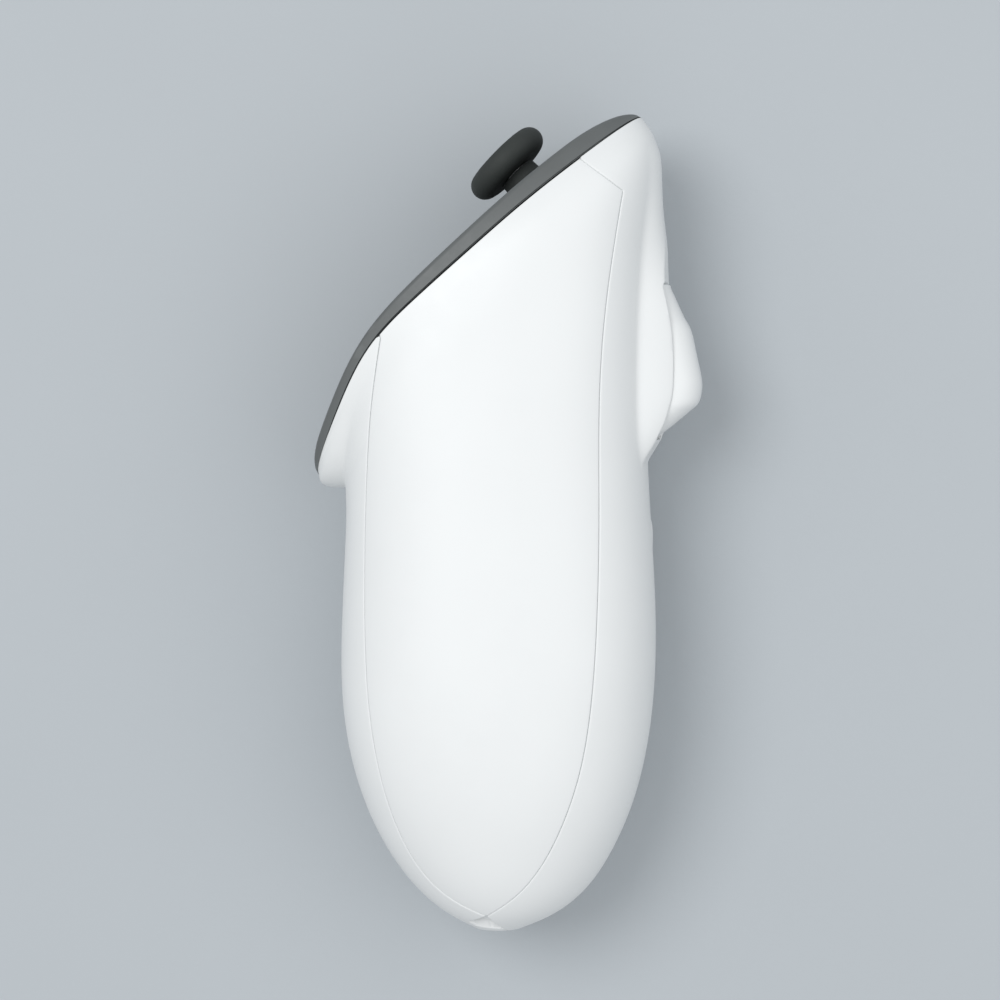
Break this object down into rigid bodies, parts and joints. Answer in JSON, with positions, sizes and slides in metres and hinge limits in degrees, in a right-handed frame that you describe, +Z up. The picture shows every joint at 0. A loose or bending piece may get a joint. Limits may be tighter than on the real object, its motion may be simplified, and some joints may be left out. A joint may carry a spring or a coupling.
{
  "type": "motion controller wand",
  "caption": "Hand-held motion controller wand with a moulded grip, slanted control plate, thumbstick, trigger and grip key, with cells behind a lift-off palm cover.",
  "frame": {"origin": "middle of the whole outline, on the surface that the wand lies on", "axes": "+Y along the grip towards the control plate, +X towards the front where the trigger is, +Z up from the surface that the wand lies on"},
  "size_m": [0.0598, 0.1256, 0.0384],
  "materials": {
    "shell_white": "fine satin moulding",
    "plate_grey": "satin, finely grained",
    "stick_rubber": "matte soft rubber",
    "button_grey": "satin",
    "lens_clear": "frosted clear",
    "steel": "drawn or pressed steel",
    "magnet": "plated",
    "gimbal_plastic": "plain moulding",
    "sensor_green": "plain moulding",
    "board_green": "solder mask",
    "chip_black": "moulded package",
    "ribbon_amber": "film",
    "lead_red": "wire sleeve",
    "tray_dark": "plain moulding",
    "cell_jacket": "plain jacket with bare ends"
  },
  "bodies": {
    "controller": {"front_shell": "shell_white", "far_shell": "shell_white", "face_plate": "plate_grey", "gimbal_housing": "gimbal_plastic", "tilt_sensor_a": "sensor_green", "tilt_sensor_b": "sensor_green", "stick_spring": "steel", "press_switch": "chip_black", "light_pipe": "lens_clear", "trigger_pin": "steel", "trigger_spring": "steel", "trigger_sensor": "chip_black", "grip_board": "board_green", "grip_switch": "chip_black", "main_board": "board_green", "board_shield": "steel", "board_chips": "chip_black", "key_board": "board_green", "key_switches": "chip_black", "key_ribbon": "ribbon_amber", "haptic_motor": "steel", "battery_tray": "tray_dark", "cell_a": "cell_jacket", "cell_b": "cell_jacket", "contact_plates": "steel", "contact_springs": "steel", "battery_leads": "lead_red", "strap_eyelet": "steel", "tray_screws": "steel", "board_screws": "steel"},
    "cover": {"palm_cover": "shell_white"},
    "stick_yoke": {"stick_carrier": "gimbal_plastic"},
    "stick_hub": {"stick_core": "gimbal_plastic"},
    "stick": {"stick_stem": "steel", "stick_cap": "stick_rubber", "stick_boot": "stick_rubber"},
    "stick_bow": {"stick_arch": "steel"},
    "key_a": {"face_button_a": "button_grey"},
    "key_b": {"face_button_b": "button_grey"},
    "key_home": {"home_button": "button_grey"},
    "key_menu": {"menu_button": "button_grey"},
    "trigger_blade": {"trigger": "shell_white", "trigger_magnet": "magnet"},
    "grip_lever": {"grip_key": "shell_white"}
  },
  "joints": [
    {"name": "cover_lift", "type": "slide", "parent": "controller", "child": "cover", "axis": [0, 0, 1], "range_m": [0, 0.04]},
    {"name": "stick_side_tilt", "type": "hinge", "parent": "controller", "child": "stick_yoke", "pos_m": [0.00939, 0.04604, 0.0192], "axis": [0.7059, 0.7083, 0], "range_deg": [-12, 12], "stiffness_Nm_per_rad": 0.04, "deforming": ["stick_spring"]},
    {"name": "stick_fore_tilt", "type": "hinge", "parent": "stick_yoke", "child": "stick_hub", "pos_m": [0.00939, 0.04604, 0.0192], "axis": [0, 0, -1], "range_deg": [-12, 12], "stiffness_Nm_per_rad": 0.04},
    {"name": "stick_press", "type": "slide", "parent": "stick_hub", "child": "stick", "axis": [0.7083, -0.7059, 0], "range_m": [0, 0.00035], "stiffness_N_per_m": 4000, "springref_m": -0.0001},
    {"name": "bow_tilt", "type": "hinge", "parent": "controller", "child": "stick_bow", "pos_m": [0.00939, 0.04604, 0.0192], "axis": [0, 0, -1], "range_deg": [-12, 12]},
    {"name": "key_a_press", "type": "slide", "parent": "controller", "child": "key_a", "axis": [0.7083, -0.7059, 0], "range_m": [0, 0.0006], "stiffness_N_per_m": 1500, "springref_m": -0.0002},
    {"name": "key_b_press", "type": "slide", "parent": "controller", "child": "key_b", "axis": [0.7083, -0.7059, 0], "range_m": [0, 0.0006], "stiffness_N_per_m": 1500, "springref_m": -0.0002},
    {"name": "key_home_press", "type": "slide", "parent": "controller", "child": "key_home", "axis": [0.7083, -0.7059, 0], "range_m": [0, 0.0006], "stiffness_N_per_m": 1500, "springref_m": -0.0002},
    {"name": "key_menu_press", "type": "slide", "parent": "controller", "child": "key_menu", "axis": [0.7083, -0.7059, 0], "range_m": [0, 0.0006], "stiffness_N_per_m": 1500, "springref_m": -0.0002},
    {"name": "trigger_pull", "type": "hinge", "parent": "controller", "child": "trigger_blade", "pos_m": [0.01893, 0.03596, 0.0192], "axis": [0, 0, -1], "range_deg": [0, 13], "stiffness_Nm_per_rad": 0.05, "springref_deg": -8.59, "deforming": ["trigger_spring"]},
    {"name": "grip_press", "type": "slide", "parent": "controller", "child": "grip_lever", "axis": [-0.866, 0, 0.5], "range_m": [0, 0.0012], "stiffness_N_per_m": 800, "springref_m": -0.0003}
  ],
  "couplings": [
    {"joint": "bow_tilt", "follows": "stick_fore_tilt", "ratio": 1}
  ]
}
